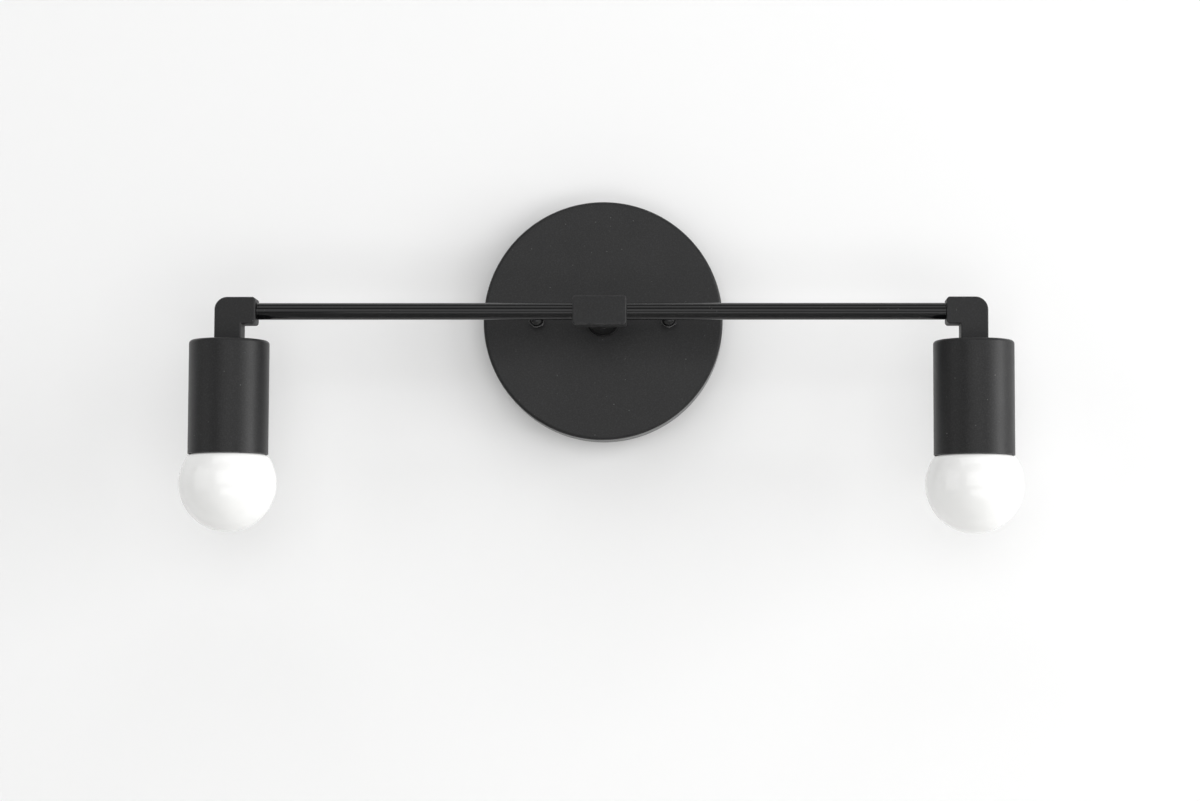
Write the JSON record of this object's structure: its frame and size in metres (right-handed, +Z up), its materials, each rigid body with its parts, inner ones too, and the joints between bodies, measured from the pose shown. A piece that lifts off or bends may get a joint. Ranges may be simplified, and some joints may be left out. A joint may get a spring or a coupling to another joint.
{
  "type": "vanity light",
  "caption": "Wall light with a round canopy, a short stem, slim horizontal arms, square elbows and downward cups that hold opal globe bulbs.",
  "frame": {"origin": "centre of the mounting strap on the wall plane, which is also the canopy's centre", "axes": "+X along the arms to the right, +Y into the wall, +Z up"},
  "size_m": [0.4324, 0.091, 0.1772],
  "materials": {
    "powder_coat": "matt black powder coat, fine grain",
    "black_tube": "satin black",
    "black_hardware": "satin black",
    "zinc_steel": "zinc plated",
    "green_steel": "green passivated",
    "connector_shell": "orange moulded plastic",
    "moulded_body": "moulded phenolic",
    "brass": "rolled brass",
    "black_wire": "wire insulation",
    "white_wire": "wire insulation",
    "opal_glass": "glossy opal white",
    "bulb_cap_metal": "rolled thread",
    "dark_glass": "fused dark glass",
    "clear_glass": "clear glass",
    "filament_wire": "drawn wire"
  },
  "bodies": {
    "root": {"mounting_strap": "zinc_steel", "canopy_studs": "zinc_steel", "strap_lock_nuts": "zinc_steel", "ground_screw": "green_steel", "canopy": "powder_coat", "canopy_cap_nuts": "black_hardware", "stem_nipple": "zinc_steel", "stem_lock_washer": "zinc_steel", "stem_lock_nut": "zinc_steel", "stem_check_ring": "black_hardware", "stem_spacer": "black_hardware", "stem_seat_washer": "black_hardware", "center_block": "powder_coat", "wire_connectors": "connector_shell", "left_arm_tube": "black_tube", "left_elbow": "powder_coat", "left_cup_nipple": "zinc_steel", "left_cup_lock_nut": "zinc_steel", "left_socket_cup": "powder_coat", "left_socket_bracket": "zinc_steel", "left_bracket_screws": "zinc_steel", "left_socket_body": "moulded_body", "left_socket_shell": "brass", "left_center_contact": "brass", "left_socket_rivets": "brass", "left_hot_wire": "black_wire", "left_neutral_wire": "white_wire", "right_arm_tube": "black_tube", "right_elbow": "powder_coat", "right_cup_nipple": "zinc_steel", "right_cup_lock_nut": "zinc_steel", "right_socket_cup": "powder_coat", "right_socket_bracket": "zinc_steel", "right_bracket_screws": "zinc_steel", "right_socket_body": "moulded_body", "right_socket_shell": "brass", "right_center_contact": "brass", "right_socket_rivets": "brass", "right_hot_wire": "black_wire", "right_neutral_wire": "white_wire"},
    "left_bulb_tip": {"left_bulb_contact": "brass"},
    "left_bulb": {"left_bulb_globe": "opal_glass", "left_bulb_cap": "bulb_cap_metal", "left_bulb_insulator": "dark_glass", "left_bulb_stem": "clear_glass", "left_bulb_filament": "filament_wire"},
    "right_bulb_tip": {"right_bulb_contact": "brass"},
    "right_bulb": {"right_bulb_globe": "opal_glass", "right_bulb_cap": "bulb_cap_metal", "right_bulb_insulator": "dark_glass", "right_bulb_stem": "clear_glass", "right_bulb_filament": "filament_wire"}
  },
  "joints": [
    {"name": "left_bulb_travel", "type": "slide", "parent": "root", "child": "left_bulb_tip", "axis": [0, 0, -1], "range_m": [0, 0.01361]},
    {"name": "left_bulb_turn", "type": "hinge", "parent": "left_bulb_tip", "child": "left_bulb", "pos_m": [-0.1912, -0.066, -0.0886], "axis": [0, 0, -1], "range_deg": [0, 1350]},
    {"name": "right_bulb_travel", "type": "slide", "parent": "root", "child": "right_bulb_tip", "axis": [0, 0, -1], "range_m": [0, 0.01361]},
    {"name": "right_bulb_turn", "type": "hinge", "parent": "right_bulb_tip", "child": "right_bulb", "pos_m": [0.1912, -0.066, -0.0886], "axis": [0, 0, -1], "range_deg": [0, 1350]}
  ],
  "couplings": [
    {"joint": "left_bulb_travel", "follows": "left_bulb_turn", "m_per_rad": 0.0005775},
    {"joint": "right_bulb_travel", "follows": "right_bulb_turn", "m_per_rad": 0.0005775}
  ]
}
